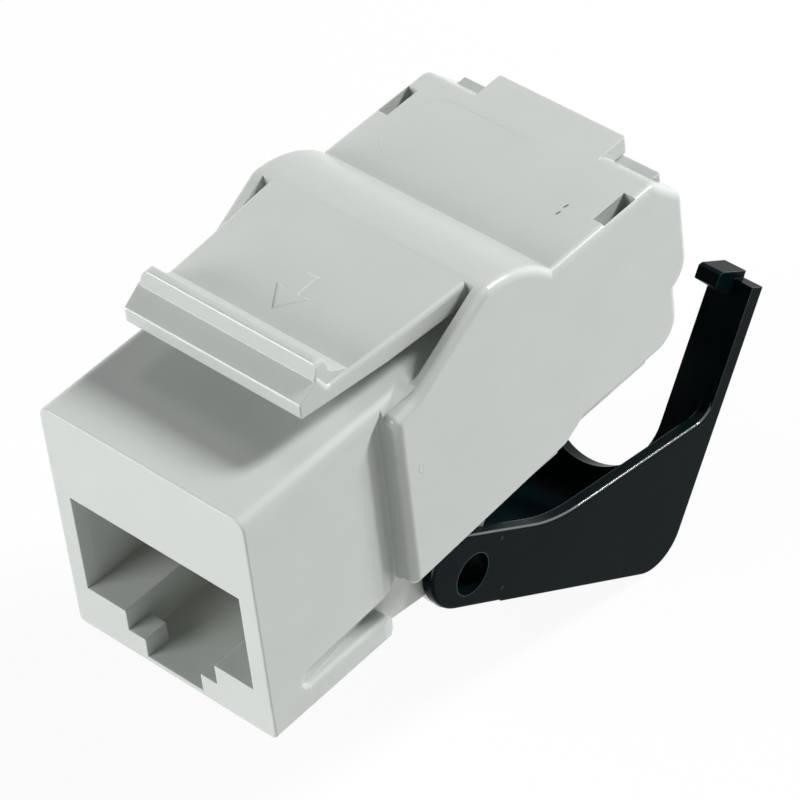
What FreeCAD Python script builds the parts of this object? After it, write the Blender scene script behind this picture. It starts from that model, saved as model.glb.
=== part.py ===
import FreeCAD, Part
import math
import os

# Lever-terminated keystone jack, millimetres.
# X is across the jack, +Y runs from the front face back to the cable side, +Z is up.
# The origin is the middle of the front face's bottom edge.

V = FreeCAD.Vector

# ---- driving sizes -------------------------------------------------------------
# front body
FACE_W = 14.5             # width of the face that fills the panel cut-out
FACE_H = 16.1             # height of that face
FACE_TOP_EDGE = 0.75      # rounding along the top of the front body
FACE_LOW_EDGE = 0.35      # and along its bottom
FACE_EDGE = 0.12          # rounding round the front face
SHOULDER_Y = 10.4         # front of the cheeks, which stop behind the panel
BODY_UNDER_LATCH = 19.3   # how far back the gap below the latch reaches
TROUGH_R = 0.3            # rounding between the body's top and the cheeks

# rear shell with its two cheeks
SHELL_W = 16.5            # over the cheeks
SHELL_RISE = 0.65         # rear top surface over the front body
SHELL_REAR = 33.6         # rear edge of the cheeks
SHELL_EDGE = 0.5          # rounding of the cheeks' outlines
CHEEK_T = 0.85            # cheek thickness beside the lever
CHEEK_LOW_FRONT = 3.35    # lower edge of the cheek at the shoulder
CHEEK_LOW_MID = 3.98      # lower edge where it steps up
CHEEK_LOW_REAR = 4.87     # lower edge behind the step
CHEEK_STEP_Y = 22.9       # start of the step
HUMP_RISE = 3.0           # top of the hump over the front body
HUMP_Y = 17.8             # where the cheeks' slope meets the hump
HUMP_R = 6.9              # radius of the hump's back
SLOPE_DROP = 0.7          # top of the cheek at the shoulder, under the body's top
SLOPE_LEVEL = 1.6         # length of its flatter foot
SLOPE_FOOT = 0.35         # end of that foot, under the body's top
TOP_WALL = 1.05           # thickness of the rear top wall
TAB_HALF = 4.45           # half width of the rear tab
TAB_SHORT = 0.1           # tab's end before the cheeks' rear edge
BEVEL_RUN = 2.15          # length of the rear bevel
BEVEL_DROP = 2.15         # height of the rear bevel
SLOT_START = 6.3          # core-out slots beside the rear top, before the rear edge
SLOT_LENGTH = 2.6
SLOT_W = 0.75
SLOT_DEPTH = 4.2
SLOT_SKIN = 0.22          # wall left outside each slot

# latch
LATCH_FRONT = 5.86        # front of the lip
LATCH_LIP_HALF = 6.15     # half width at the lip
LATCH_ROOT_HALF = 7.05    # half width at the root
LATCH_GAP = 1.65          # gap under the arm
LATCH_T = 1.2             # arm thickness
LATCH_EDGE = 0.3          # rounding along the sides of the arm's top
LIP_DROP = 0.8            # bottom edge of the lip under the arm's top
RIDGE_H = 1.7             # height of the ridge over the arm
RIDGE_HALF = 6.1          # half width of the ridge

# bottom rails that hold the lower panel edge
RAIL_FRONT = 2.35
RAIL_REAR = 9.4
RAIL_H = 1.65
RAIL_GAP = 1.3            # height of the groove over the rail at its front
RAIL_STEP = 0.35          # depth of the groove at its front
RAIL_EDGE = 0.35          # rounding along the top of the rail
RELIEF_LENGTH = 1.3       # relief in the side walls in front of the shoulders
RELIEF_DEPTH = 0.45
RELIEF_DROP = 0.32        # its top under the body's top

# inner body between the lever's arms
CORE_W = 12.6
CORE_CAVITY_W = 10.8
CORE_FLOOR_T = 0.8
CORE_LOW_MID = 1.4        # underside behind the pivot
CORE_LOW_REAR = 2.3       # underside at the cable end
CORE_SHORT = 1.8          # its end before the cheeks' rear edge

# plug socket
PORT_W = 11.9
PORT_LOW = 3.15
PORT_TOP = 9.95
PORT_DEPTH = 13.6
PORT_LEAD = 0.12          # lead-in at the mouth
KEY_W = 6.5               # keyway for the plug's latch
KEY_CATCH_W = 4.06        # between the two catches at the mouth
KEY_CATCH_Z = 1.7
KEY_CATCH_DEPTH = 1.6
KEY_FLOOR = 0.4
WELL_Y = 2.8              # well over the socket that holds the contacts
WELL_W = 9.2
WELL_DROP = 2.4           # its roof under the body's top

# contacts
CONTACTS = 8
CONTACT_PITCH = 1.016
WIRE = 0.36               # square contact wire
WIRE_DROP = 0.95          # centre line of the upper run under the well's roof
WIRE_BEND_R = 0.95
WIRE_BEND_Y = 4.7         # centre of the front bend
WIRE_SLOPE = 26.0         # slope of the spring leg, degrees
WIRE_LEG = 8.0
TONGUE_T = 1.3            # carrier tongue that the wires wrap round
CARRIER_LENGTH = 5.6

# circuit board and insulation displacement block
BOARD_T = 1.2
BLOCK_SHARE = 0.4         # block's share of the depth behind the board
BLADE_PITCH = 2.4
BLADE_W = 1.7
BLADE_T = 0.5
BLADE_SLIT = 0.3
BLADE_SLIT_DEPTH = 3.2
BLADE_SHORT = 3.6         # blade tips before the cheeks' rear edge
ROW_RISE = 1.2            # lower row of blades over the cavity floor
ROW_DROP = 2.78           # upper row under the manager's flange
PIN = 0.5                 # solder pins of blades
PIN_HOLE_R = 0.42

# wire manager
MANAGER_SHARE = 0.45      # its share of the depth behind the board
MANAGER_SHORT = 0.25      # its rear before the cheeks' rear edge
MANAGER_LIP = 0.95        # plastic beyond each row of blades
FLANGE_T = 1.1
CABLE_W = 8.4             # cable pocket
CABLE_CLEAR = 0.9         # between a row of blades and the pocket
GROOVE_W = 1.0            # wire grooves
GROOVE_DEPTH = 3.15
PAD_HALF = (4.5, 5.85)    # push pads, inner and outer side
PAD_H = 2.3
STROKE = 0.9              # how far the lever presses the manager in
SHELF_T = 1.3             # shelves that guide the flange
SHELF_LENGTH = 3.7
NOSE_OVER = 0.35          # catch noses behind the cheeks' rear edge

# lever
PIVOT_Y = 15.7
PIVOT_Z = -0.64
LEVER_ANGLE = 33.3        # how far the lever stands open
LEVER_BEHIND = 1.15       # between the closed lever's rear wall and the cheeks
ARM_T = 0.75
ARM_LOW = 2.06            # lower edge below the pivot
ARM_HEAD = 2.5            # upper edge of the arm's head above the pivot
ARM_HEAD_FRONT = 3.95     # front of the arm's head before the pivot
ARM_CORNER_R = 2.5
ARM_TOP_START = 6.6       # where the upper edge starts to rise
ARM_TOP_SLOPE = 22.9
WALL_T = 1.05             # rear wall and fingers
FLOOR_T = 0.95            # cross plate
FLOOR_FRONT = 3.4         # front edge of the cross plate behind the pivot
FINGER_INNER = 4.35
HOOK_OUTER = 5.9
HOOK_GRIP = 0.9           # how far the hooks reach over the noses
HOOK_OVER = 0.35          # clearance over the noses
HOOK_T = 0.95
HOOK_RISE = 0.45
YOKE_LOW = 1.75           # its lowest point above the pivot
RIB_T = 0.5
RIB_H = 0.45
HUB_R = 1.7               # hollow trunnions of the lever
HUB_BORE_R = 1.3
EAR_R = 2.45

# clearances
FIT = 0.05                # between parts that are assembled once
RUN = 0.06                # radial, trunnion in ear
SIDE = 0.15               # lever beside the inner body
GUIDE = 0.12              # manager in its guides

# ---- sizes that follow from the driving ones -----------------------------------
shell_top = FACE_H + SHELL_RISE
hump_top = FACE_H + HUMP_RISE
slope_low = FACE_H - SLOPE_DROP
tab_rear = SHELL_REAR - TAB_SHORT
bevel_start = SHELL_REAR - BEVEL_RUN
bevel_end_z = shell_top - BEVEL_DROP
slot_front = SHELL_REAR - SLOT_START
latch_low = FACE_H + LATCH_GAP
latch_top = latch_low + LATCH_T
lip_low = latch_top - LIP_DROP
relief_front = SHOULDER_Y - RELIEF_LENGTH
relief_top = FACE_H - RELIEF_DROP
core_half = CORE_W / 2
cavity_half = CORE_CAVITY_W / 2
core_rear = SHELL_REAR - CORE_SHORT
shell_half = SHELL_W / 2
face_half = FACE_W / 2
cheek_in = shell_half - CHEEK_T
arm_in = core_half + SIDE
arm_out = arm_in + ARM_T
roof_z = shell_top - TOP_WALL
well_top = FACE_H - WELL_DROP
wire_top_z = well_top - WIRE_DROP
carrier_front = PORT_DEPTH + FIT
carrier_rear = carrier_front + CARRIER_LENGTH
board_front = carrier_rear + FIT
board_rear = board_front + BOARD_T
block_front = board_rear + FIT
manager_rear = SHELL_REAR - MANAGER_SHORT
behind_board = manager_rear - block_front
block_rear = block_front + BLOCK_SHARE * behind_board
manager_front = manager_rear - MANAGER_SHARE * behind_board
core_floor = CORE_LOW_MID + CORE_FLOOR_T
cable_floor = CORE_LOW_REAR + CORE_FLOOR_T
upper_half = shell_half - SLOT_SKIN - SLOT_W - 0.25
flange_top = roof_z - GUIDE
flange_low = flange_top - FLANGE_T
shelf_top = flange_low - GUIDE
shelf_low = shelf_top - SHELF_T
shelf_rear = SHELL_REAR - 0.3
shelf_front = shelf_rear - SHELF_LENGTH
nose_rear = SHELL_REAR + NOSE_OVER
under_latch_roof = FACE_H - 1.2
row_z = (cable_floor + ROW_RISE, flange_low - ROW_DROP)
blade_tip = SHELL_REAR - BLADE_SHORT
manager_high = row_z[1] + MANAGER_LIP
cable_low = row_z[0] + CABLE_CLEAR
cable_high = row_z[1] - CABLE_CLEAR
pad_z = (cable_high - PAD_H + 0.1, cable_high + 0.1)
lever_closed_wall = SHELL_REAR + LEVER_BEHIND
arm_back = lever_closed_wall + WALL_T - PIVOT_Y
hook_reach = lever_closed_wall - nose_rear + HOOK_GRIP
finger_top = shelf_top + HOOK_OVER - PIVOT_Z - HOOK_RISE + HOOK_T
pad_rear = lever_closed_wall + STROKE - FIT
parts = {}


# ---- helpers -------------------------------------------------------------------
def on_yz(x):
    """Places a point (y, z) in the plane at x."""
    return lambda p: V(x, p[0], p[1])


def on_xy(z):
    return lambda p: V(p[0], p[1], z)


def on_xz(y):
    return lambda p: V(p[0], y, p[1])


def outline(points, place):
    """Closed face through points (u, v) or (u, v, r), where r rounds that corner."""
    corners = []
    count = len(points)
    for i, point in enumerate(points):
        here = V(point[0], point[1], 0)
        radius = point[2] if len(point) > 2 else 0
        if not radius:
            corners.append((here,))
            continue
        before = points[i - 1]
        after = points[(i + 1) % count]
        to_before = V(before[0], before[1], 0) - here
        to_after = V(after[0], after[1], 0) - here
        half_turn = to_before.getAngle(to_after) / 2
        reach = radius / math.tan(half_turn)
        first = here + V(to_before).normalize() * reach
        last = here + V(to_after).normalize() * reach
        bisector = (V(to_before).normalize() + V(to_after).normalize()).normalize()
        centre = here + bisector * (radius / math.sin(half_turn))
        middle = centre - bisector * radius
        corners.append((first, middle, last))
    edges = []
    for i, corner in enumerate(corners):
        if len(corner) == 3:
            arc = [place((p.x, p.y)) for p in corner]
            edges.append(Part.Arc(*arc).toShape())
        start = corner[-1]
        end = corners[(i + 1) % count][0]
        if (end - start).Length > 1e-6:
            ends = place((start.x, start.y)), place((end.x, end.y))
            edges.append(Part.LineSegment(*ends).toShape())
    return Part.Face(Part.Wire(edges))


def side_prism(points, x_low, x_high):
    """Prism of a (y, z) outline between two x planes."""
    return outline(points, on_yz(x_low)).extrude(V(x_high - x_low, 0, 0))


def plan_prism(points, z_low, z_high):
    """Prism of an (x, y) outline between two heights."""
    return outline(points, on_xy(z_low)).extrude(V(0, 0, z_high - z_low))


def front_prism(points, y_low, y_high):
    """Prism of an (x, z) outline between two depths."""
    return outline(points, on_xz(y_low)).extrude(V(0, y_high - y_low, 0))


def box(x, y, z):
    """Box from three (low, high) pairs."""
    size = [high - low for low, high in (x, y, z)]
    return Part.makeBox(*size, V(x[0], y[0], z[0]))


def rod(radius, x_low, x_high, y, z):
    return Part.makeCylinder(radius, x_high - x_low, V(x_low, y, z), V(1, 0, 0))


def mirrored(shape):
    return shape.mirror(V(0, 0, 0), V(1, 0, 0))


def both_sides(shape):
    return shape.fuse(mirrored(shape))


def rounded(shape, radius, wanted):
    """Rounds the edges whose middle passes the test."""
    chosen = [e for e in shape.Edges if wanted(e.CenterOfMass, e)]
    return shape.makeFillet(radius, chosen)


def save(name, shape):
    shape = shape.removeSplitter()
    parts[name] = shape
    shape.exportStep("parts/" + name + ".step")
    box_ = shape.BoundBox
    print("%-20s solids %d valid %s volume %9.3f  x %.2f %.2f  y %.2f %.2f  z %.2f %.2f" % (
        name, len(shape.Solids), shape.isValid(), shape.Volume,
        box_.XMin, box_.XMax, box_.YMin, box_.YMax, box_.ZMin, box_.ZMax))


# ---- housing -------------------------------------------------------------------
def front_body():
    """Square front body with rounded edges, reaching back under the hump."""
    half = face_half
    section = [(-half, 0, FACE_LOW_EDGE), (half, 0, FACE_LOW_EDGE),
               (half, FACE_H, FACE_TOP_EDGE), (-half, FACE_H, FACE_TOP_EDGE)]
    body = front_prism(section, 0, SHOULDER_Y + 4)
    body = rounded(body, FACE_EDGE, lambda c, e: c.y < 1e-6)
    return body.fuse(both_sides(corner_blend()))


def corner_blend():
    """Wedge that leads the front body's rounded corner into the cheek's slope."""
    inner = face_half - FACE_TOP_EDGE
    low = FACE_H - FACE_TOP_EDGE
    foot_y = SHOULDER_Y + SLOPE_LEVEL
    level_y = foot_y + (HUMP_Y - foot_y) * SLOPE_FOOT / (HUMP_RISE + SLOPE_FOOT)
    sections = []
    for y, outer, z in [(SHOULDER_Y, face_half, slope_low), (level_y, cheek_in + TROUGH_R, FACE_H)]:
        corners = [(inner - 0.3, low - 0.5), (outer, low - 0.5), (outer, z), (inner, FACE_H),
                   (inner - 0.3, FACE_H)]
        points = [V(x, y, height) for x, height in corners]
        sections.append(Part.makePolygon(points + points[:1]))
    return Part.makeLoft(sections, True, True)


def shell_outline():
    """Side outline of the cheeks, hump and rear top."""
    hump_centre = V(HUMP_Y, hump_top - HUMP_R, 0)
    drop = shell_top - hump_centre.y
    hump_end = HUMP_Y + math.sqrt(HUMP_R ** 2 - drop ** 2)
    middle_angle = (math.pi / 2 + math.asin(drop / HUMP_R)) / 2
    hump_middle = hump_centre + V(math.cos(middle_angle), math.sin(middle_angle), 0) * HUMP_R
    lobe_r = 1.8
    lobe_rear = SHELL_REAR - 1.0
    lobe_y = lobe_rear - lobe_r
    lobe_z = CHEEK_LOW_REAR + lobe_r
    lobe_45 = lobe_r * math.sqrt(0.5)
    notch = (lobe_rear - 0.05, lobe_z + 1.8)
    edges = []

    def line(a, b):
        edges.append(Part.LineSegment(V(0, *a), V(0, *b)).toShape())

    def arc(a, b, c):
        edges.append(Part.Arc(V(0, *a), V(0, *b), V(0, *c)).toShape())

    low_front = (SHOULDER_Y, CHEEK_LOW_FRONT)
    step_a = (CHEEK_STEP_Y, CHEEK_LOW_MID)
    step_b = (CHEEK_STEP_Y + 1.6, CHEEK_LOW_REAR)
    lobe_a = (lobe_y, CHEEK_LOW_REAR)
    lobe_b = (lobe_rear, lobe_z)
    bulge_end = (SHELL_REAR + 0.1, notch[1] + 1.85)
    rear_high = (SHELL_REAR, bevel_end_z)
    bevel_top = (bevel_start, shell_top)
    hump_low = (hump_end, shell_top)
    crest = (HUMP_Y, hump_top)
    slope_foot = (SHOULDER_Y + SLOPE_LEVEL, FACE_H - SLOPE_FOOT)
    slope_end = (SHOULDER_Y, slope_low)
    line(low_front, step_a)
    line(step_a, step_b)
    line(step_b, lobe_a)
    arc(lobe_a, (lobe_y + lobe_45, lobe_z - lobe_45), lobe_b)
    line(lobe_b, notch)
    arc(notch, (SHELL_REAR - 0.22, notch[1] + 0.75), bulge_end)
    line(bulge_end, rear_high)
    line(rear_high, bevel_top)
    line(bevel_top, hump_low)
    arc(hump_low, (hump_middle.x, hump_middle.y), crest)
    line(crest, slope_foot)
    line(slope_foot, slope_end)
    line(slope_end, low_front)
    return Part.Face(Part.Wire(edges))


def rear_shell():
    face = shell_outline()
    face.translate(V(-shell_half, 0, 0))
    shell = face.extrude(V(SHELL_W, 0, 0))
    corners = [(SHOULDER_Y, slope_low, 0.45), (SHOULDER_Y + SLOPE_LEVEL, FACE_H - SLOPE_FOOT, 2.0),
               (HUMP_Y, hump_top, 1.2), (bevel_start, shell_top, 0.8),
               (SHOULDER_Y, CHEEK_LOW_FRONT, 0.3), (SHELL_REAR, bevel_end_z, 0.6)]
    for y, z, radius in corners:
        shell = rounded(shell, radius, lambda c, e: math.hypot(c.y - y, c.z - z) < 0.01)
    return rounded(shell, SHELL_EDGE, lambda c, e: abs(abs(c.x) - shell_half) < 1e-6)


def inner_body():
    """Narrow body between the lever's arms, with an ear round each trunnion."""
    under = [(SHOULDER_Y - 1.6, 0), (SHOULDER_Y - 0.1, 0), (PIVOT_Y - 2.3, -0.5),
             (PIVOT_Y + 1.2, -0.2), (PIVOT_Y + EAR_R, CORE_LOW_MID), (block_rear - 1.6, CORE_LOW_MID),
             (block_rear - 0.7, CORE_LOW_REAR), (core_rear, CORE_LOW_REAR), (core_rear, PORT_TOP),
             (SHOULDER_Y - 1.6, PORT_TOP)]
    body = side_prism(under, -core_half, core_half)
    ear = rod(EAR_R, cavity_half, core_half, PIVOT_Y, PIVOT_Z)
    return body.fuse(both_sides(ear))


def latch():
    """Flexing arm with its stepped lip and finger ridge."""
    root = BODY_UNDER_LATCH + 0.6
    low = latch_low
    lip_top = lip_low + 0.9
    step_y = LATCH_FRONT + 1.4
    arm_side = [(LATCH_FRONT, lip_low, 0.12), (LATCH_FRONT + 0.02, lip_top, 0.22),
                (step_y, latch_top + 0.9), (step_y + 0.2, latch_top + 0.9),
                (step_y + 0.7, latch_top, 0.3), (HUMP_Y - 5, latch_top, 20), (HUMP_Y + 0.4, hump_top - 0.02),
                (root, hump_top - 0.5), (root, low), (LATCH_FRONT + 6, low)]
    arm = side_prism(arm_side, -LATCH_ROOT_HALF, LATCH_ROOT_HALF)
    plan = [(-LATCH_LIP_HALF, LATCH_FRONT - 0.01, 0.15), (LATCH_LIP_HALF, LATCH_FRONT - 0.01, 0.15),
            (LATCH_ROOT_HALF, root), (-LATCH_ROOT_HALF, root)]
    arm = arm.common(plan_prism(plan, low - 1, hump_top + 3))
    arm = rounded(arm, LATCH_EDGE, lambda c, e: abs(c.x) > LATCH_LIP_HALF and c.z > latch_top - 0.01
                  and c.y > step_y + 1 and e.BoundBox.YLength > 0.2)
    crest = latch_top + RIDGE_H
    ridge_side = [(step_y - 0.12, latch_top + 0.6), (step_y - 0.12, latch_top + 0.92),
                  (step_y + 0.25, crest, 0.2), (step_y + 0.78, crest, 0.25),
                  (step_y + 0.95, latch_top + 0.75, 0.6),
                  (step_y + 2.3, latch_top - 0.05), (step_y, latch_top - 0.05)]
    ridge = side_prism(ridge_side, -RIDGE_HALF, RIDGE_HALF)
    ridge_front = [(-RIDGE_HALF, latch_top - 1), (RIDGE_HALF, latch_top - 1),
                   (RIDGE_HALF, crest, 0.45), (-RIDGE_HALF, crest, 0.45)]
    ridge = ridge.common(front_prism(ridge_front, step_y - 1, step_y + 3))
    return arm.fuse(ridge)


def plug_socket():
    """Everything that is cut out of the front body for the plug and its contacts."""
    half = PORT_W / 2
    key = KEY_W / 2
    catch = KEY_CATCH_W / 2
    section = [(-half, PORT_LOW), (-key, PORT_LOW), (-key, KEY_CATCH_Z), (-catch, KEY_CATCH_Z),
               (-catch, KEY_FLOOR), (catch, KEY_FLOOR), (catch, KEY_CATCH_Z), (key, KEY_CATCH_Z),
               (key, PORT_LOW), (half, PORT_LOW), (half, PORT_TOP), (-half, PORT_TOP)]
    socket = front_prism(section, -1, PORT_DEPTH)
    keyway = box((-key, key), (KEY_CATCH_DEPTH, PORT_DEPTH - 1), (KEY_FLOOR, PORT_LOW + 0.1))
    well = box((-WELL_W / 2, WELL_W / 2), (WELL_Y, PORT_DEPTH + 1), (PORT_TOP - 0.1, well_top))
    lead = half + PORT_LEAD
    mouth = Part.makeLoft([
        Part.makePolygon([V(-lead, 0, PORT_LOW), V(lead, 0, PORT_LOW), V(lead, 0, PORT_TOP + PORT_LEAD / 2),
                          V(-lead, 0, PORT_TOP + PORT_LEAD / 2), V(-lead, 0, PORT_LOW)]),
        Part.makePolygon([V(-half, 0.8, PORT_LOW), V(half, 0.8, PORT_LOW), V(half, 0.8, PORT_TOP),
                          V(-half, 0.8, PORT_TOP), V(-half, 0.8, PORT_LOW)])], True, True)
    return [socket, keyway, well, mouth]


def rail_grooves():
    """Cuts that leave a rail along each bottom edge, deepening towards the rear."""
    out = shell_half + 1
    plan = [(out, RAIL_FRONT), (face_half - RAIL_STEP, RAIL_FRONT), (core_half, RAIL_REAR - 1.2),
            (core_half, SHOULDER_Y + 5), (out, SHOULDER_Y + 5)]
    round_r = (RAIL_GAP) * 0.46
    side = [(RAIL_FRONT, RAIL_H, round_r), (RAIL_REAR - 0.3, RAIL_H, 0.2), (RAIL_REAR, RAIL_H - 0.45, 0.2),
            (RAIL_REAR, 0.6, 0.2), (RAIL_REAR - 0.3, 0, 0.1), (RAIL_REAR - 0.3, -4),
            (SHOULDER_Y + 5, -4), (SHOULDER_Y + 5, CHEEK_LOW_FRONT + 0.1), (SHOULDER_Y, CHEEK_LOW_FRONT),
            (RAIL_FRONT, RAIL_H + RAIL_GAP, round_r)]
    groove = plan_prism(plan, -5, FACE_H).common(side_prism(side, 0, out + 1))
    centre = V(face_half - RAIL_EDGE, RAIL_FRONT, RAIL_H - RAIL_EDGE)
    strip = box((centre.x, out), (RAIL_FRONT + round_r, RAIL_REAR), (centre.z, RAIL_H + 0.01))
    strip = strip.cut(Part.makeCylinder(RAIL_EDGE, RAIL_REAR, centre, V(0, 1, 0)))
    return both_sides(groove.fuse(strip))


def shoulder_reliefs():
    """Shallow wedge in each side wall, deepest at the shoulder."""
    out = face_half + 1
    plan = [(face_half, relief_front - 0.4), (face_half - RELIEF_DEPTH * 0.2, relief_front + 0.3, 2.0),
            (face_half - RELIEF_DEPTH, SHOULDER_Y - 0.15), (face_half - RELIEF_DEPTH, SHOULDER_Y),
            (out, SHOULDER_Y), (out, relief_front - 0.4)]
    rise = SHOULDER_Y - relief_front
    side = [(relief_front - 0.5, 0), (SHOULDER_Y, 0), (SHOULDER_Y, relief_top),
            (relief_front, relief_top - rise, 0.4),
            (relief_front - 0.5, relief_top - rise * 1.4)]
    wedge = plan_prism(plan, 0, FACE_H).common(side_prism(side, 0, out))
    return both_sides(wedge)


def arm_slots():
    """Slots between the cheeks and the inner body where the lever's arms swing."""
    head_roof = PIVOT_Z + math.hypot(ARM_HEAD_FRONT - 0.6, ARM_HEAD) + 0.2
    rise = math.tan(math.radians(ARM_TOP_SLOPE))
    start = PIVOT_Y + ARM_TOP_START
    rear_roof = PIVOT_Z + ARM_HEAD + (SHELL_REAR + 2 - start) * rise + 0.45
    side = [(SHOULDER_Y + 0.4, -8), (SHOULDER_Y + 0.4, head_roof, 0.5), (start, head_roof),
            (SHELL_REAR + 2, rear_roof), (SHELL_REAR + 2, -8)]
    return both_sides(side_prism(side, core_half, cheek_in))


def assembly_cavity():
    """Rear cavity for the contact carrier, board, block and wire manager."""
    rear = SHELL_REAR + 3
    side = [(PORT_DEPTH - 0.1, core_floor), (block_rear - 0.9, core_floor),
            (block_rear, cable_floor), (rear, cable_floor), (rear, roof_z),
            (BODY_UNDER_LATCH + 0.9, roof_z), (BODY_UNDER_LATCH + 0.9, under_latch_roof),
            (PORT_DEPTH - 0.1, under_latch_roof)]
    narrow = side_prism(side, -cavity_half, cavity_half)
    wide = box((-upper_half, upper_half), (block_rear, rear), (head_clear(), roof_z))
    return [narrow, wide]


def head_clear():
    """Lowest height at which the rear cavity may be wider than the inner body."""
    rise = math.tan(math.radians(ARM_TOP_SLOPE))
    start = PIVOT_Y + ARM_TOP_START
    return PIVOT_Z + ARM_HEAD + (SHELL_REAR - start) * rise + 1.0


def flange_shelves():
    """Shelves that guide the wire manager's flange, with the catch noses."""
    shelf = box((PAD_HALF[1], upper_half + 0.2), (shelf_front, shelf_rear), (shelf_low, shelf_top))
    nose_side = [(shelf_front, shelf_low), (nose_rear - 0.5, shelf_low), (nose_rear, shelf_low + 0.5),
                 (nose_rear, shelf_top, 0.15), (shelf_front, shelf_top)]
    nose = side_prism(nose_side, PAD_HALF[0], PAD_HALF[1] + 0.1)
    return both_sides(shelf.fuse(nose))


def keystone_housing():
    shell = rear_shell()
    between = cheek_in
    trough = [(-between, FACE_H, TROUGH_R), (between, FACE_H, TROUGH_R), (between, hump_top + 2),
              (-between, hump_top + 2)]
    open_top = front_prism(trough, SHOULDER_Y - 1, HUMP_Y)
    gap_side = [(SHOULDER_Y - 1, FACE_H), (BODY_UNDER_LATCH, FACE_H, 0.7),
                (BODY_UNDER_LATCH, latch_low, 0.5), (SHOULDER_Y - 1, latch_low)]
    gap = side_prism(gap_side, -between, between)
    gap = gap.common(front_prism(trough, SHOULDER_Y - 1, BODY_UNDER_LATCH + 1))
    body = shell.cut(open_top).cut(gap)
    body = body.fuse(front_body()).fuse(inner_body())
    body = body.fuse(latch())
    tab = [(-TAB_HALF, bevel_start - 1), (TAB_HALF, bevel_start - 1), (TAB_HALF, tab_rear, 0.15),
           (-TAB_HALF, tab_rear, 0.15)]
    body = body.fuse(plan_prism(tab, roof_z, shell_top))
    cuts = plug_socket() + assembly_cavity()
    cuts += [rail_grooves(), shoulder_reliefs(), arm_slots()]
    slot_out = shell_half - SLOT_SKIN
    slot = box((slot_out - SLOT_W, slot_out), (slot_front, slot_front + SLOT_LENGTH),
               (shell_top - SLOT_DEPTH, shell_top + 1))
    cuts.append(both_sides(slot))
    cuts.append(both_sides(rod(HUB_R + RUN, cavity_half, core_half + 1, PIVOT_Y, PIVOT_Z)))
    for cut in cuts:
        body = body.cut(cut)
    return body.fuse(flange_shelves())


# ---- contacts ------------------------------------------------------------------
def contact_x(index):
    return (index - (CONTACTS - 1) / 2) * CONTACT_PITCH


def contact_carrier():
    """Block behind the socket with a tongue that the contact wires wrap round."""
    half = cavity_half - FIT
    low = core_floor + FIT
    high = under_latch_roof - FIT
    block = box((-half, half), (carrier_front, carrier_rear), (low, high))
    tongue_top = wire_top_z - WIRE / 2 - FIT
    tongue_side = [(WIRE_BEND_Y + 0.1, tongue_top - TONGUE_T, TONGUE_T * 0.45),
                   (carrier_front + 1, tongue_top - TONGUE_T), (carrier_front + 1, tongue_top),
                   (WIRE_BEND_Y + 0.1, tongue_top, TONGUE_T * 0.45)]
    tongue_half = WELL_W / 2 - FIT
    block = block.fuse(side_prism(tongue_side, -tongue_half, tongue_half))
    comb_width = WIRE + 2 * FIT
    leg_low = PORT_LOW + 3.6
    for i in range(CONTACTS):
        x = (contact_x(i) - comb_width / 2, contact_x(i) + comb_width / 2)
        run = box(x, (carrier_front - 0.1, carrier_rear + 1),
                  (wire_top_z - comb_width / 2, wire_top_z + comb_width / 2))
        comb = box(x, (carrier_front - 1, carrier_front + 1.2), (leg_low, PORT_TOP))
        block = block.cut(run).cut(comb)
    return block


def spring_contact(x):
    """Square wire: upper run, front bend, then the sloping spring leg."""
    slope = math.radians(WIRE_SLOPE)
    centre_z = wire_top_z - WIRE_BEND_R
    half = WIRE / 2

    def at(radius, angle):
        return (WIRE_BEND_Y + radius * math.cos(angle), centre_z + radius * math.sin(angle))

    def side(radius):
        top = at(radius, math.pi / 2)
        nose = at(radius, math.pi)
        low = at(radius, 1.5 * math.pi - slope)
        leg = (low[0] + WIRE_LEG * math.cos(slope), low[1] - WIRE_LEG * math.sin(slope))
        return top, nose, low, leg

    def seg(a, b):
        return Part.LineSegment(V(x - half, *a), V(x - half, *b)).toShape()

    def arc(a, b, c):
        return Part.Arc(V(x - half, *a), V(x - half, *b), V(x - half, *c)).toShape()

    outer = side(WIRE_BEND_R + half)
    inner = side(WIRE_BEND_R - half)
    tail_y = board_rear - FIT
    outer_tail = (tail_y, outer[0][1])
    inner_tail = (tail_y, inner[0][1])
    edges = [seg(outer_tail, outer[0]), arc(*outer[:3]), seg(outer[2], outer[3]), seg(outer[3], inner[3]),
             seg(inner[3], inner[2]), arc(inner[2], inner[1], inner[0]), seg(inner[0], inner_tail),
             seg(inner_tail, outer_tail)]
    return Part.Face(Part.Wire(edges)).extrude(V(WIRE, 0, 0))


# ---- board, block and blades ---------------------------------------------------
def blade_x(index):
    return (index % 4 - 1.5) * BLADE_PITCH


def blade_z(index):
    return row_z[index // 4]


def circuit_board():
    half = cavity_half - FIT
    board = box((-half, half), (board_front, board_rear), (core_floor + FIT, under_latch_roof - FIT))
    wire_hole = (WIRE + 2 * FIT) / 2
    for i in range(CONTACTS):
        x = contact_x(i)
        board = board.cut(box((x - wire_hole, x + wire_hole), (board_front - 1, board_rear + 1),
                              (wire_top_z - wire_hole, wire_top_z + wire_hole)))
        base = V(blade_x(i), board_front - 1, blade_z(i))
        board = board.cut(Part.makeCylinder(PIN_HOLE_R, BOARD_T + 2, base, V(0, 1, 0)))
    return board


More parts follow.
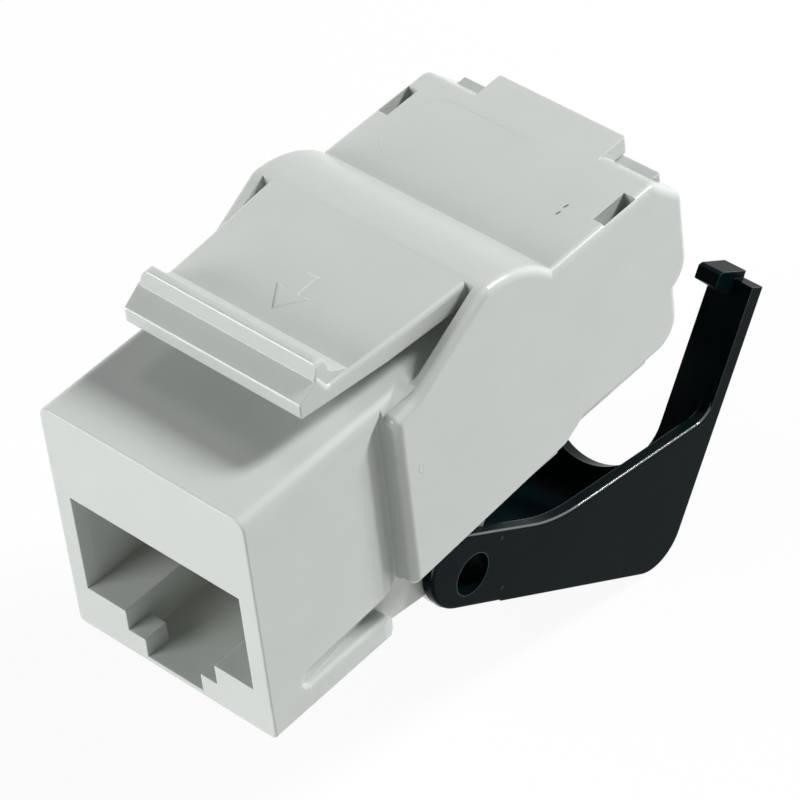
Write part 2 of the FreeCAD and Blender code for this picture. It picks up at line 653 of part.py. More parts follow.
def idc_block():
    """Block that holds the two rows of blades, with a tower round each pair."""
    half = cavity_half - FIT
    front_low = core_floor + FIT
    step = block_rear - 0.9 - FIT
    side = [(block_front, front_low), (step, front_low), (block_rear, cable_floor + FIT),
            (block_rear, roof_z - FIT - 1.0, 0.3), (block_front, roof_z - FIT)]
    block = side_prism(side, -half, half)
    slot_half = BLADE_W / 2 + FIT
    slot_t = BLADE_T / 2 + FIT
    for i in range(CONTACTS):
        x, z = blade_x(i), blade_z(i)
        block = block.cut(box((x - slot_half, x + slot_half), (block_front - 1, block_rear + 1),
                              (z - slot_t, z + slot_t)))
    waist_low = row_z[0] + 1.5
    waist_high = row_z[1] - 1.5
    waist = box((-half - 1, half + 1), (block_rear - 2.2, block_rear + 1), (waist_low, waist_high))
    return block.cut(waist)


def idc_blade(index):
    """Flat blade with a slit at its tip and a solder pin at its root."""
    x, z = blade_x(index), blade_z(index)
    root = block_front
    half = BLADE_W / 2
    slit = BLADE_SLIT / 2
    tip = blade_tip
    floor = tip - BLADE_SLIT_DEPTH
    plan = [(x - PIN / 2, board_front), (x + PIN / 2, board_front), (x + PIN / 2, root),
            (x + half, root), (x + half, tip, 0.2), (x + slit + 0.45, tip), (x + slit, tip - 0.6),
            (x + slit, floor), (x - slit, floor), (x - slit, tip - 0.6), (x - slit - 0.45, tip),
            (x - half, tip, 0.2), (x - half, root), (x - PIN / 2, root)]
    return plan_prism(plan, z - BLADE_T / 2, z + BLADE_T / 2)


# ---- wire manager --------------------------------------------------------------
def wire_manager():
    """Sliding block: wires lie in its grooves and it is pressed on to the blades."""
    low_half = cavity_half - GUIDE
    high_half = upper_half - GUIDE
    wide_low = head_clear() + GUIDE
    low = cable_floor + GUIDE
    block = box((-low_half, low_half), (manager_front, manager_rear), (low, manager_high))
    wing = box((-high_half, high_half), (manager_front, SHELL_REAR - 1.2), (wide_low, manager_high))
    web_half = PAD_HALF[0] - GUIDE
    web = box((-web_half, web_half), (manager_front, manager_rear), (manager_high - 0.5, flange_top - 0.1))
    flange = box((-high_half, high_half), (shelf_front - 0.8, manager_rear), (flange_low, flange_top))
    manager = block.fuse(wing).fuse(web).fuse(flange)
    manager = rounded(manager, 0.15, lambda c, e: abs(c.y - manager_rear) < 1e-6)
    pad = box(PAD_HALF, (manager_rear - 2, pad_rear), pad_z)
    manager = manager.fuse(both_sides(pad))
    pocket = front_prism([(-CABLE_W / 2, cable_low, 0.8), (CABLE_W / 2, cable_low, 0.8),
                          (CABLE_W / 2, cable_high, 0.8), (-CABLE_W / 2, cable_high, 0.8)],
                         manager_front + 1.2, pad_rear + 1)
    manager = manager.cut(pocket)
    hole_half = BLADE_W / 2 + GUIDE
    hole_t = BLADE_T / 2 + GUIDE
    for i in range(CONTACTS):
        x, z = blade_x(i), blade_z(i)
        hole = box((x - hole_half, x + hole_half), (manager_front - 1, blade_tip + STROKE + 0.4),
                   (z - hole_t, z + hole_t))
        outer_end = low - 1 if i < 4 else manager_high + 0.01
        inner_end = cable_low + 1 if i < 4 else cable_high - 1
        groove = box((x - GROOVE_W / 2, x + GROOVE_W / 2), (manager_rear - GROOVE_DEPTH, pad_rear + 1),
                     (min(inner_end, outer_end), max(inner_end, outer_end)))
        manager = manager.cut(hole).cut(groove)
    return manager


# ---- lever ---------------------------------------------------------------------
def arm_outline():
    """Side outline of an arm with the lever closed, from the pivot."""
    rise = math.tan(math.radians(ARM_TOP_SLOPE))
    top_rear = ARM_HEAD + (arm_back - WALL_T - ARM_TOP_START) * rise
    return [(-ARM_HEAD_FRONT, -ARM_LOW, 3.4), (arm_back, -ARM_LOW, ARM_CORNER_R),
            (arm_back, finger_top), (arm_back - WALL_T, finger_top),
            (arm_back - WALL_T, top_rear, 1.4), (ARM_TOP_START, ARM_HEAD, 10.0),
            (-ARM_HEAD_FRONT, ARM_HEAD, 1.1)]


def termination_lever():
    """Stirrup lever: two arms, cross plate, rear wall with the cable cut-out and hooked fingers."""
    arm = side_prism(arm_outline(), arm_in, arm_out)
    arm = rounded(arm, 0.18, lambda c, e: abs(c.x - arm_out) < 1e-6 and c.y < arm_back - 0.05)
    hub = rod(HUB_R, cavity_half + 0.1, arm_in + 0.1, 0, 0)
    side = arm.fuse(hub).cut(rod(HUB_BORE_R, 0, arm_out + 1, 0, 0))
    floor_top = -ARM_LOW + FLOOR_T
    wall_front = arm_back - WALL_T
    channel = [(FLOOR_FRONT, -ARM_LOW, 0.3), (arm_back, -ARM_LOW, ARM_CORNER_R), (arm_back, finger_top),
               (wall_front, finger_top), (wall_front, floor_top, ARM_CORNER_R - WALL_T),
               (FLOOR_FRONT, floor_top, 0.3)]
    web = side_prism(channel, -arm_out, arm_out)
    opening = box((-FINGER_INNER, FINGER_INNER), (wall_front - 3, arm_back + 1),
                  (YOKE_LOW + FINGER_INNER, finger_top + 1))
    bowl_start = V(0, wall_front - 3, YOKE_LOW + FINGER_INNER)
    bowl = Part.makeCylinder(FINGER_INNER, WALL_T + 4, bowl_start, V(0, 1, 0))
    bowl = bowl.common(box((-FINGER_INNER, FINGER_INNER), (wall_front - 3, arm_back + 1),
                           (YOKE_LOW - 1, YOKE_LOW + FINGER_INNER)))
    web = web.cut(opening).cut(bowl)
    hook_side = [(wall_front + 0.3, finger_top - 1.5), (wall_front, finger_top - 1.1),
                 (wall_front - hook_reach, finger_top + HOOK_RISE - HOOK_T, 0.1),
                 (wall_front - hook_reach, finger_top + HOOK_RISE - 0.15, 0.1),
                 (wall_front - hook_reach + 0.3, finger_top + HOOK_RISE),
                 (arm_back - 0.1, finger_top + HOOK_RISE), (arm_back - 0.1, finger_top - 1.5)]
    hook = side_prism(hook_side, FINGER_INNER, HOOK_OUTER)
    lever = web.fuse(both_sides(side)).fuse(both_sides(hook))
    rib_x = arm_in / 2
    rib = box((rib_x - RIB_T / 2, rib_x + RIB_T / 2), (FLOOR_FRONT + 1, wall_front - 2.2),
              (floor_top - 0.1, floor_top + RIB_H))
    cross_rib = box((-arm_in, arm_in), (FLOOR_FRONT + 5, FLOOR_FRONT + 5 + RIB_T),
                    (floor_top - 0.1, floor_top + RIB_H))
    lever = lever.fuse(both_sides(rib)).fuse(cross_rib)
    lever.rotate(V(0, 0, 0), V(1, 0, 0), -LEVER_ANGLE)
    lever.translate(V(0, PIVOT_Y, PIVOT_Z))
    return lever


# ---- model ---------------------------------------------------------------------
os.makedirs("parts", exist_ok=True)
save("keystone_housing", keystone_housing())
save("contact_carrier", contact_carrier())
for number in range(CONTACTS):
    save("spring_contact_%d" % (number + 1), spring_contact(contact_x(number)))
save("circuit_board", circuit_board())
save("idc_block", idc_block())
for number in range(CONTACTS):
    save("idc_blade_%d" % (number + 1), idc_blade(number))
save("wire_manager", wire_manager())
save("termination_lever", termination_lever())
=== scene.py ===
"""Keystone jack with its termination lever: finishes, small moulded marks and a plain studio."""

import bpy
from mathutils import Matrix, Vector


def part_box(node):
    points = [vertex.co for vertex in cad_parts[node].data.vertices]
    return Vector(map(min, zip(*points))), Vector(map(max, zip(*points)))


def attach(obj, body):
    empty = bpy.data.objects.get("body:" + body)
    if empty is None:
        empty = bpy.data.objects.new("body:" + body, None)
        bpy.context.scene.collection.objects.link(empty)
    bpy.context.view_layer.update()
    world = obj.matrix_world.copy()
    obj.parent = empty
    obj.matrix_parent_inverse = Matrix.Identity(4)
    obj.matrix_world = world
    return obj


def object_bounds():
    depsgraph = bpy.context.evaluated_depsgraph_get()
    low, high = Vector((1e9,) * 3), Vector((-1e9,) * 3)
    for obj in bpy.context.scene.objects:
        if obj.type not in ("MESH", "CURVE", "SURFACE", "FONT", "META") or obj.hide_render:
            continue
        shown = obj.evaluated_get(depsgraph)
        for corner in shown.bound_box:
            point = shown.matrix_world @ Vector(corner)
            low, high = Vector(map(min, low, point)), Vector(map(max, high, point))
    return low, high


bl_info = {
    "name": "Keystone Jack",
    "version": (1, 0, 0),
    "blender": (4, 5, 0),
    "location": "View3D > Sidebar > Jack",
    "description": "Finishes, marks and studio for a lever-terminated keystone jack",
    "category": "Object",
}

import math

import bpy
import numpy as np
from mathutils import Matrix, Vector

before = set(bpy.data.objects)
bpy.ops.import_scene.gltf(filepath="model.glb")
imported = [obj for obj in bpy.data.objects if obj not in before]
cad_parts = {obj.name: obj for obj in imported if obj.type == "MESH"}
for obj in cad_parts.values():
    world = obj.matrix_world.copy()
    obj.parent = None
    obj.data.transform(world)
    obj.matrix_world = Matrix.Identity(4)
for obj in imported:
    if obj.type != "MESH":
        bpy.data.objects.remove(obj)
cad_box = [list(corner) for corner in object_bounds()]

MM = 0.001

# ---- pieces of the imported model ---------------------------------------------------
HOUSING = "keystone_housing"
LEVER = "termination_lever"
CONTACTS = ["spring_contact_%d" % n for n in range(1, 9)]
BLADES = ["idc_blade_%d" % n for n in range(1, 9)]

# ---- places of the marks: x from the middle plane, y from the face ---------------
LATCH_DROP = 1.70 * MM          # flat of the latch, under the housing's highest point
REAR_DROP = 3.90 * MM           # flat of the rear top, under the same point
ARROW_SETBACK = 11.9 * MM       # the arrow on the latch, behind the face
ARROW_FOOT = 0.02 * MM          # how deep its foot is sunk
LATCH_PIN_SETBACK = 16.0 * MM   # the ejector pin mark behind the arrow
INSERT_CORNER = 1.8 * MM        # rounded corners of the mould insert on the rear top
INSERT_CENTRES = np.array([(-4.7, 26.5), (-4.7, 28.5)]) * MM
INSERT_START = -4.2 * MM        # where the straight along the insert's rear starts and ends, in x
INSERT_END = 0.9 * MM
NICK_PLACES = np.array([(5.48, 26.62), (5.47, 27.28)]) * MM    # gate nicks on the rear top
NICK_LEAN = 0.04 * MM           # how far each end of a nick lies beside its middle
NICK_WIDTH = 0.13 * MM
NICK_HEIGHT = 0.03 * MM
CHEEK_MARK = np.array((11.81, 11.23)) * MM                     # y and z of the right cheek's blemish
CHEEK_MARK_RADIUS = 0.22 * MM
CHEEK_MARK_STRETCH = (1.0, 1.5)
CHEEK_MARK_HEIGHT = 0.015 * MM
LEVER_PINS = np.array([(18.21, 0.12), (17.82, -3.49)]) * MM    # y and z of the lever's pin marks

# ---- shares and reaches of the finishes --------------------------------------------
NICK_PAINTED_SHADE = 0.22               # painted shade for the pits of the gate nicks, as a share of the housing's colour
LEVER_PIN_LIFT = 4.0            # colour of the lever's pin marks, over the lever's own
LEVER_EDGE_REACH = 6.95 * MM    # the lever's glossy edges, also painted lighter as a highlight, lie further than this from the middle plane
NO_EDGE_REACH = 20.0 * MM       # further out than anything, so that no edge is glossed or painted lighter

# Rings of a pin mark, from its foot over its rim into its shallow middle: shares of its radius and height
PIN_PROFILE = np.array([(1.04, -0.5), (1.0, 0.7), (0.94, 1.0), (0.80, 1.0), (0.74, 0.6), (0.3, 0.6)])

# ---- studio ------------------------------------------------------------------------
FLOOR_REACH = 3.0
FLOOR_GLOW = 0.93             # share of plain white in the floor as it is seen
LAMP_AIM = Vector((0, 14, 10)) * MM
LAMP_DISTANCE = 0.5
KEY_WAY = Vector((0.364, 0.704, 0.607))
KEY_SIZE = (0.11, 0.10)
FRONT_WAY = Vector((-0.40, -0.86, 0.32))
FRONT_SIZE = (0.28, 0.24)
CAMERA_AROUND = math.radians(46.24)     # turned to the right of straight in front
CAMERA_ABOVE = math.radians(43.58)
CAMERA_ROLL = math.radians(-6.86)
CAMERA_AIM = Vector((0, 12, 8)) * MM
CAMERA_ASIDE = 4.62 * MM
CAMERA_RAISED = 2.33 * MM
CAMERA_DISTANCE = 228.8 * MM
SENSOR_WIDTH = 36.0
FOCAL_LENGTH = 193.527


# ---- sizes and colours a user may change ----------------------------------------
def length(name, description, default):
    """Length property in metres."""
    return bpy.props.FloatProperty(
        name=name, description=description, default=default, subtype="DISTANCE", unit="LENGTH", precision=5)


def colour(name, description, default):
    """Colour property."""
    return bpy.props.FloatVectorProperty(
        name=name, description=description, default=default, size=3, subtype="COLOR", min=0.0, max=1.0)


def power(name, description, default):
    """Lamp power property in watts."""
    return bpy.props.FloatProperty(
        name=name, description=description, default=default, min=0.0, unit="POWER", precision=4)


class JackFinishes(bpy.types.PropertyGroup):
    """Colours and surface sizes of the jack's plastics and metals"""

    housing_colour: colour("Housing", "Light grey moulding", (0.560, 0.592, 0.568))
    manager_colour: colour("Wire manager", "Grey sliding block", (0.500, 0.530, 0.510))
    carrier_colour: colour("Carrier", "Grey inner mouldings", (0.300, 0.320, 0.310))
    lever_colour: colour("Lever", "Black moulding", (0.0015, 0.0060, 0.0072))
    # Lever edge: a painted highlight, a lighter colour laid on the lever's rounded upper edges.
    lever_edge_highlight: colour("Lever edge", "Polished upper edges of the lever", (0.120, 0.130, 0.130))
    board_colour: colour("Board", "Green solder mask", (0.018, 0.105, 0.050))
    gold_colour: colour("Contacts", "Gold plating", (0.880, 0.640, 0.280))
    tin_colour: colour("Blades", "Tin plating", (0.700, 0.700, 0.680))
    edge_round: length("Edge rounding", "Radius of the fine rounding on moulded edges", 0.00009)
    grain_size: length("Grain size", "Size of the fine moulded grain", 0.00012)
    cloud_size: length("Cloud size", "Size of the broad unevenness in the plastic", 0.0030)


class JackMarks(bpy.types.PropertyGroup):
    """Sizes of the small raised marks"""

    arrow_length: length("Arrow length", "Length of the raised arrow on the latch", 0.0030)
    arrow_width: length("Arrow width", "Width of the arrow's head", 0.0021)
    arrow_height: length("Arrow height", "How far the arrow stands out", 0.00010)
    ejector_radius: length("Latch pin mark", "Radius of the ejector pin mark on the latch", 0.00042)
    pin_radius: length("Lever pin mark", "Radius of the two pin marks on the lever's right arm", 0.00013)
    ejector_height: length("Pin mark height", "How far a pin mark stands out", 0.00002)
    witness_width: length("Witness line", "Width of the mould insert's fine line on the rear top", 0.00018)
    witness_height: length("Witness height", "How far that line stands out", 0.000010)
    nick_length: length("Gate nick", "Length of each gate nick on the rear top", 0.00032)


class JackStudio(bpy.types.PropertyGroup):
    """Lamps, floor and surround"""

    key_power: power("Key lamp", "Power of the lamp behind and above", 2.75)
    front_power: power("Front lamp", "Power of the broad lamp in front", 2.08)
    sky: bpy.props.FloatProperty(
        name="Surround", description="Strength of the pale surround", default=0.08, min=0.0)
    floor_gap: length("Floor gap", "How far the floor lies under the lowest point", 0.0002)
    floor_colour: colour("Floor", "Pale floor", (0.90, 0.90, 0.90))


# ---- meshes ----------------------------------------------------------------------
def grid_faces(rows, columns, closed):
    """Quads of a grid of rows by columns, numbered row by row; closed joins the last column to the first."""
    r = np.arange(rows - 1)[:, None]
    c = np.arange(columns if closed else columns - 1)[None, :]
    n = (c + 1) % columns
    a, b = r * columns + c, r * columns + n
    return np.stack([a, b, b + columns, a + columns], axis=-1).reshape(-1, 4).tolist()


def mesh_object(name, points, faces, body, material, slot, smooth=True):
    """New object at the origin with its place in its mesh, riding on a body."""
    mesh = bpy.data.meshes.new(name)
    mesh.from_pydata(np.asarray(points, float).tolist(), [], faces)
    mesh.validate()
    mesh.update()
    mesh.polygons.foreach_set("use_smooth", np.full(len(mesh.polygons), smooth))
    thing = bpy.data.objects.new(name, mesh)
    bpy.context.scene.collection.objects.link(thing)
    mesh.materials.append(material)
    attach(thing, body)
    return thing


def stepped_pad(outline, profile, origin, u, v, n):
    """Closed outline carried inwards and upwards, from a sunk foot to one middle point on top.

    Each ring is the outline scaled about its centre by the profile's first number and lifted by its
    second: point = origin + scale * (x * u + y * v) + lift * n.
    """
    outline, profile = np.asarray(outline, float), np.asarray(profile, float)
    origin, u, v, n = (np.array(vector, float) for vector in (origin, u, v, n))
    flat = outline[None, :, 0, None] * u + outline[None, :, 1, None] * v
    rings = origin + profile[:, 0, None, None] * flat + profile[:, 1, None, None] * n
    count, last, top = len(outline), (len(profile) - 1) * len(outline), len(profile) * len(outline)
    faces = grid_faces(len(profile), count, True)
    faces += [[last + i, last + (i + 1) % count, top] for i in range(count)]
    if np.dot(np.cross(u, v), n) < 0:
        faces = [face[::-1] for face in faces]
    return np.vstack([rings.reshape(-1, 3), origin + profile[-1, 1] * n]), faces


def corner_arc(centre, radius, start, stop, count=24):
    """Points centre + radius * (cos t, sin t) for t from start to stop, in degrees."""
    t = np.radians(np.linspace(start, stop, count))
    return np.asarray(centre, float) + radius * np.stack([np.cos(t), np.sin(t)], axis=1)


def insert_path():
    """Two rounded corners of the mould insert and the straight that leads on from the second."""
    front, rear = INSERT_CENTRES
    back = rear[1] + INSERT_CORNER
    straight = np.linspace((INSERT_START, back), (INSERT_END, back), 20)
    corners = corner_arc(front, INSERT_CORNER, 270, 180), corner_arc(rear, INSERT_CORNER, 180, 90)
    return np.vstack([*corners, straight])


def raised_line(path, wide, tall, level):
    """Fine ridge along a flat path, lying on the plane z = level and thinner at both ends.

    Its section is a low roof with sunk sides and no underside. Ring point = path point + swell *
    (across * side + up * z), where side is the path's direction turned a quarter and
    swell = sin(pi * share of the length) ^ 0.25.
    """
    path = np.asarray(path, float)
    ahead = np.gradient(path, axis=0)
    ahead /= np.linalg.norm(ahead, axis=1)[:, None]
    side = np.stack([-ahead[:, 1], ahead[:, 0]], axis=1)
    section = np.array([(0.5, -0.5), (0.25, 1.0), (-0.25, 1.0), (-0.5, -0.5)]) * (wide, tall)
    swell = np.sin(np.pi * np.linspace(0, 1, len(path) + 2)[1:-1]) ** 0.25
    flat = path[:, None] + swell[:, None, None] * section[None, :, 0, None] * side[:, None]
    height = level + swell[:, None] * section[None, :, 1]
    rings = np.concatenate([flat, height[..., None]], axis=2).reshape(-1, 3)
    ends = np.array([(*path[0], level), (*path[-1], level)])
    count, last = len(section), (len(path) - 1) * len(section)
    faces = grid_faces(len(path), count, False)
    faces += [[i + 1, i, len(rings)] for i in range(count - 1)]
    faces += [[last + i, last + i + 1, len(rings) + 1] for i in range(count - 1)]
    return np.vstack([rings, ends]), faces


def joined(parts):
    """Several point and face lists as one."""
    points, faces, start = [], [], 0
    for some_points, some_faces in parts:
        points.append(some_points)
        faces += [[start + i for i in face] for face in some_faces]
        start += len(some_points)
    return np.vstack(points), faces


def circle(radius, count=40):
    """Points radius * (cos t, sin t) for t once round."""
    t = np.linspace(0, 2 * np.pi, count, endpoint=False)
    return np.stack([radius * np.cos(t), radius * np.sin(t)], axis=1)


def arrow_outline(long, wide):
    """Arrow about a point inside its head, tip towards +y, with each side cut into six even steps."""
    head = 0.5 * long
    shaft = 0.20 * wide
    shift = 0.06 * long
    corners = np.array([(0, head), (-wide / 2, 0), (-shaft, 0), (-shaft, head - long),
                        (shaft, head - long), (shaft, 0), (wide / 2, 0)]) - (0, shift)
    ends = np.roll(corners, -1, axis=0)
    t = np.linspace(0, 1, 6, endpoint=False)[None, :, None]
    return (corners[:, None] * (1 - t) + ends[:, None] * t).reshape(-1, 2)


# ---- materials -------------------------------------------------------------------
def put(tree, kind, place, **values):
    """New node, with its own settings and its unlinked inputs given by name."""
    node = tree.nodes.new(kind)
    node.location = place
    for name, value in values.items():
        if hasattr(node, name):
            setattr(node, name, value)
        else:
            node.inputs[name.replace("_", " ")].default_value = value
    return node


def feed(tree, socket, value):
    """Links a socket to another node's output, or sets it where the value is a plain one."""
    if isinstance(value, bpy.types.NodeSocket):
        tree.links.new(value, socket)
    else:
        socket.default_value = value


def calculate(tree, place, operation, *values, clamp=False):
    """One step of arithmetic on masks and numbers."""
    node = put(tree, "ShaderNodeMath", place, operation=operation, use_clamp=clamp)
    for socket, value in zip(node.inputs, values):
        feed(tree, socket, value)
    return node.outputs[0]


def ramp(tree, place, low, high, source, from_min=0.35, from_max=0.65):
    """Carries a mask from one pair of limits to another, low at from_min and high at from_max."""
    limits = {"From_Min": from_min, "From_Max": from_max, "To_Min": low, "To_Max": high}
    node = put(tree, "ShaderNodeMapRange", place, **limits)
    tree.links.new(source, node.inputs["Value"])
    return node.outputs["Result"]


def noise(tree, place, coordinates, scale, detail, roughness):
    """Noise pattern on a piece's own coordinates."""
    node = put(tree, "ShaderNodeTexNoise", place, Detail=detail, Roughness=roughness)
    tree.links.new(coordinates, node.inputs["Vector"])
    feed(tree, node.inputs["Scale"], scale)
    return node.outputs["Fac"]


def bump(tree, place, height, strength, distance, normal):
    """Normal tilted by the slope of a pattern."""
    node = put(tree, "ShaderNodeBump", place, Distance=distance)
    for name, source in (("Height", height), ("Strength", strength), ("Normal", normal)):
        tree.links.new(source, node.inputs[name])
    return node.outputs["Normal"]


def blend_colours(tree, place, factor, first, second):
    """Mixes two colours by a mask; each is a plain colour or another node's output."""
    node = put(tree, "ShaderNodeMix", place, data_type="RGBA")
    tree.links.new(factor, node.inputs[0])
    for socket, value in ((node.inputs[6], first), (node.inputs[7], second)):
        feed(tree, socket, value if isinstance(value, bpy.types.NodeSocket) else (*value, 1))
    return node.outputs[2]


def scaled(rgb, by):
    """Colour made darker or lighter, no lighter than white."""
    return tuple(min(1.0, c * by) for c in rgb)


SKIN_INPUTS = {"Cloud Scale": 300.0, "Grain Scale": 8000.0, "Grain Depth": 0.1, "Flow Depth": 0.1,
               "Edge Radius": 0.00009, "Round Reach": 0.0}
SKIN_OUTPUTS = {"Cloud": "Float", "Grain": "Float", "Edge": "Float", "Round": "Float", "Normal": "Vector"}


def moulded_skin_group():
    """Moulded skin: masks for broad clouds, fine grain, sharp edges and rounded upper edges, and a normal."""
    name = "Moulded skin"
    if name in bpy.data.node_groups:
        return bpy.data.node_groups[name]
    tree = bpy.data.node_groups.new(name, "ShaderNodeTree")
    for label, default in SKIN_INPUTS.items():
        socket = tree.interface.new_socket(name=label, in_out="INPUT", socket_type="NodeSocketFloat")
        socket.default_value = default
    for label, kind in SKIN_OUTPUTS.items():
        tree.interface.new_socket(name=label, in_out="OUTPUT", socket_type="NodeSocket" + kind)
    given = put(tree, "NodeGroupInput", (-1200, 0)).outputs
    result = put(tree, "NodeGroupOutput", (700, 0)).inputs
    place = put(tree, "ShaderNodeTexCoord", (-1200, 300)).outputs
    cloud = noise(tree, (-900, 300), place["Object"], given["Cloud Scale"], 3.0, 0.5)
    flow = noise(tree, (-900, 0), place["Object"], given["Cloud Scale"], 2.0, 0.45)
    grain = noise(tree, (-900, -300), place["Object"], given["Grain Scale"], 2.0, 0.6)
    bevel = put(tree, "ShaderNodeBevel", (-600, -500), samples=8)
    tree.links.new(given["Edge Radius"], bevel.inputs["Radius"])
    rounded = bevel.outputs["Normal"]
    wave = bump(tree, (-300, -200), flow, given["Flow Depth"], 0.0002, rounded)
    fine = bump(tree, (0, -200), grain, given["Grain Depth"], 0.00002, wave)
    tree.links.new(cloud, result["Cloud"])
    tree.links.new(grain, result["Grain"])
    tree.links.new(sharp_edge_mask(tree, rounded), result["Edge"])
    tree.links.new(rounded_edge_mask(tree, place, given["Round Reach"]), result["Round"])
    tree.links.new(fine, result["Normal"])
    return tree


def sharp_edge_mask(tree, rounded):
    """One where the rounded normal leaves the true one: their dot product falls from 1.0 to 0.90."""
    geometry = put(tree, "ShaderNodeNewGeometry", (-600, 500))
    turn = put(tree, "ShaderNodeVectorMath", (-300, 500), operation="DOT_PRODUCT")
    tree.links.new(geometry.outputs["Normal"], turn.inputs[0])
    tree.links.new(rounded, turn.inputs[1])
    return ramp(tree, (0, 500), 0.0, 1.0, turn.outputs["Value"], 1.0, 0.90)


def rounded_edge_mask(tree, place, reach):
    """One on rounded upper edges further than reach from the middle plane.

    There x, the sideways share of the surface's own direction, is neither 0 nor 1, so |x| (1 - |x|)
    is over 0.1, and its upward share z is over 0.15.
    """
    direction = put(tree, "ShaderNodeSeparateXYZ", (-900, 750))
    tree.links.new(place["Normal"], direction.inputs[0])
    across = calculate(tree, (-700, 750), "ABSOLUTE", direction.outputs[0])
    rest = calculate(tree, (-500, 750), "SUBTRACT", 1.0, across)
    turned = calculate(tree, (-300, 750), "MULTIPLY", across, rest)
    curved = ramp(tree, (-100, 750), 0.0, 1.0, turned, 0.10, 0.23)
    upper = ramp(tree, (-300, 950), 0.0, 1.0, direction.outputs[2], 0.15, 0.40)
    spot = put(tree, "ShaderNodeSeparateXYZ", (-900, 1100))
    tree.links.new(place["Object"], spot.inputs[0])
    off = calculate(tree, (-700, 1100), "ABSOLUTE", spot.outputs[0])
    outer = calculate(tree, (-500, 1100), "GREATER_THAN", off, reach)
    upper_outer = calculate(tree, (-100, 1000), "MULTIPLY", upper, outer)
    return calculate(tree, (100, 750), "MULTIPLY", upper_outer, curved)


def new_material(name):
    """Fresh node material, with its tree and its Principled shader."""
    material = bpy.data.materials.new(name)
    material.use_nodes = True
    return material, material.node_tree, material.node_tree.nodes["Principled BSDF"]


def skin(tree, grain_depth, flow_depth, reach=0.0, finer_clouds=1.0, finer_grain=1.0, edge_share=1.0):
    """Places the moulded skin group; its sizes are those that a user sets, or shares of them."""
    sizes = bpy.context.scene.jack_finishes
    node = put(tree, "ShaderNodeGroup", (-900, 0))
    node.node_tree = moulded_skin_group()
    values = (finer_clouds / sizes.cloud_size, finer_grain / sizes.grain_size, grain_depth, flow_depth,
              sizes.edge_round * edge_share, reach)
    for label, value in zip(SKIN_INPUTS, values):
        node.inputs[label].default_value = value
    return node.outputs


def plastic(name, rgb, rough, grain_depth, flow_depth, spread=0.05, painted_edge_highlight=1.0, edge_gloss=0.3,
            shine=0.5, soft=0.0, painted_highlight=None, reach=0.0):
    """Moulded plastic with clouded colour, uneven gloss and fine grain.

    Its edges are lighter by painted_edge_highlight, a painted highlight, and glossier by edge_gloss. Its
    rounded upper edges beyond reach take the colour worn where one is given, else that lighter colour: a
    painted highlight too.
    shine is its specular level, and soft its light under the skin.
    """
    material, tree, shader = new_material(name)
    masks = skin(tree, grain_depth, flow_depth, reach)
    clouds = ramp(tree, (-800, 300), 0.0, 1.0, masks["Cloud"])
    body = blend_colours(tree, (-600, 300), clouds, scaled(rgb, 1 - spread), scaled(rgb, 1 + spread))
    # Painted highlight: the sharp edges and the rounded upper edges are coloured lighter than the body.
    lifted = scaled(rgb, painted_edge_highlight)
    rim = blend_colours(tree, (-400, 300), masks["Edge"], body, lifted)
    upper_edge_highlight = blend_colours(tree, (-200, 300), masks["Round"], rim, painted_highlight or lifted)
    tree.links.new(upper_edge_highlight, shader.inputs["Base Color"])
    uneven = ramp(tree, (-600, 0), rough * 0.85, rough * 1.15, masks["Grain"])
    tree.links.new(uneven, shader.inputs["Roughness"])
    tree.links.new(masks["Normal"], shader.inputs["Normal"])
    any_edge = calculate(tree, (-400, -300), "MAXIMUM", masks["Edge"], masks["Round"])
    gloss = ramp(tree, (-200, -300), 0.0, edge_gloss, any_edge, 0.0, 1.0)
    tree.links.new(gloss, shader.inputs["Coat Weight"])
    shader.inputs["IOR"].default_value = 1.52
    shader.inputs["Specular IOR Level"].default_value = shine
    shader.inputs["Coat Roughness"].default_value = 0.10
    shader.inputs["Subsurface Weight"].default_value = soft
    shader.inputs["Subsurface Radius"].default_value = (0.6, 0.6, 0.55)
    shader.inputs["Subsurface Scale"].default_value = 1.0 * MM
    return material


def metal(name, rgb, rough):
    """Plated or stamped metal with clouded colour, fine grain and uneven gloss."""
    material, tree, shader = new_material(name)
    masks = skin(tree, 0.12, 0.1, finer_clouds=3.0, finer_grain=0.7, edge_share=0.7)
    clouds = ramp(tree, (-800, 300), 0.0, 1.0, masks["Cloud"])
    body = blend_colours(tree, (-600, 300), clouds, scaled(rgb, 0.86), scaled(rgb, 1.04))
    tree.links.new(body, shader.inputs["Base Color"])
    uneven = ramp(tree, (-600, 0), rough * 0.7, rough * 1.3, masks["Grain"])
    tree.links.new(uneven, shader.inputs["Roughness"])
    tree.links.new(masks["Normal"], shader.inputs["Normal"])
    shader.inputs["Metallic"].default_value = 1.0
    return material


def dress(nodes, material):
    """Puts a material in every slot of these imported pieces."""
    for name in nodes:
        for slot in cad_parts[name].material_slots:
            slot.material = material


